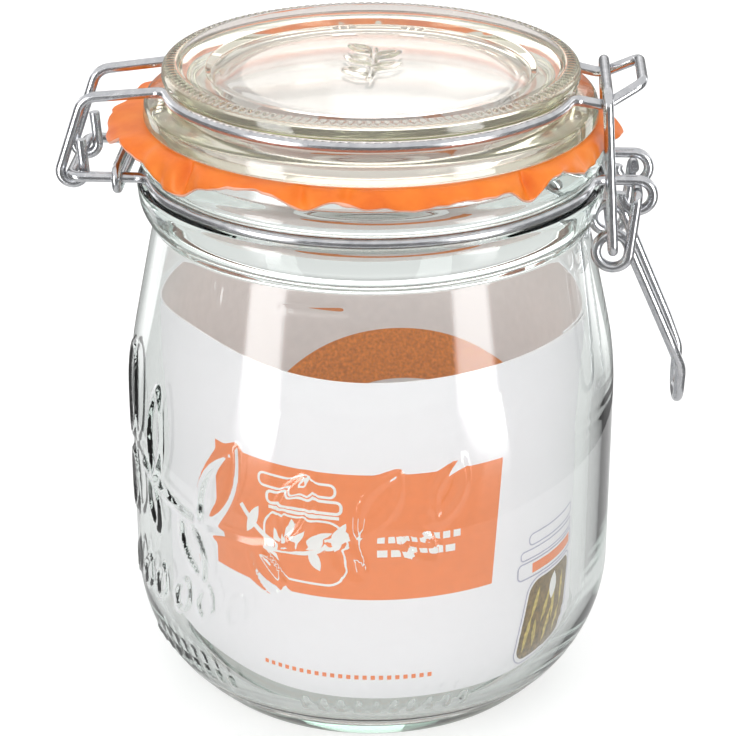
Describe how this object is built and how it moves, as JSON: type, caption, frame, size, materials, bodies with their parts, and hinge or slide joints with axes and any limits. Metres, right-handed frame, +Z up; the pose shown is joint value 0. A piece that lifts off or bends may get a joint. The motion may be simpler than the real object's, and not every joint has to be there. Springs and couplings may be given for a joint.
{
  "type": "clip-top jar",
  "caption": "Clear glass preserving jar with a glass lid on a wire hinge, an orange rubber seal, a wire toggle clip and a rolled card leaflet inside.",
  "frame": {"origin": "on the jar's axis, at the plane that its foot stands on", "axes": "+Z up along the jar's axis, +X towards the toggle clip, -X towards the hinge, +Y from the front to the back"},
  "size_m": [0.1402, 0.1112, 0.1469],
  "materials": {
    "clear_glass": "clear, slightly green, fire-polished with soft mould waves",
    "seal_rubber": "smooth natural rubber, bright orange",
    "zinc_wire": "bright zinc-plated drawn wire",
    "printed_card": "coated card, white outside with orange print, grey-pink inside"
  },
  "bodies": {
    "jar": {"jar_body": "clear_glass", "belt_wire": "zinc_wire", "tie_ring": "zinc_wire", "leaflet": "printed_card"},
    "lid": {"lid_glass": "clear_glass", "seal_ring": "seal_rubber", "lid_wire": "zinc_wire"},
    "lever": {"lever": "zinc_wire"},
    "link": {"link": "zinc_wire"}
  },
  "joints": [
    {"name": "lid_hinge", "type": "hinge", "parent": "jar", "child": "lid", "pos_m": [-0.065, 0, 0.1231], "axis": [0, -1, 0], "range_deg": [0, 105]},
    {"name": "lever_pivot", "type": "hinge", "parent": "jar", "child": "lever", "pos_m": [0.0584, 0, 0.1204], "axis": [0, -1, 0], "range_deg": [0, 100]},
    {"name": "link_swing", "type": "hinge", "parent": "lever", "child": "link", "pos_m": [0.0535, 0, 0.108], "axis": [0, -1, 0], "range_deg": [-135, 0]}
  ],
  "couplings": [
    {"joint": "lever_pivot", "follows": "lid_hinge", "ratio": 0.95238},
    {"joint": "link_swing", "follows": "lid_hinge", "ratio": -1.2762}
  ]
}
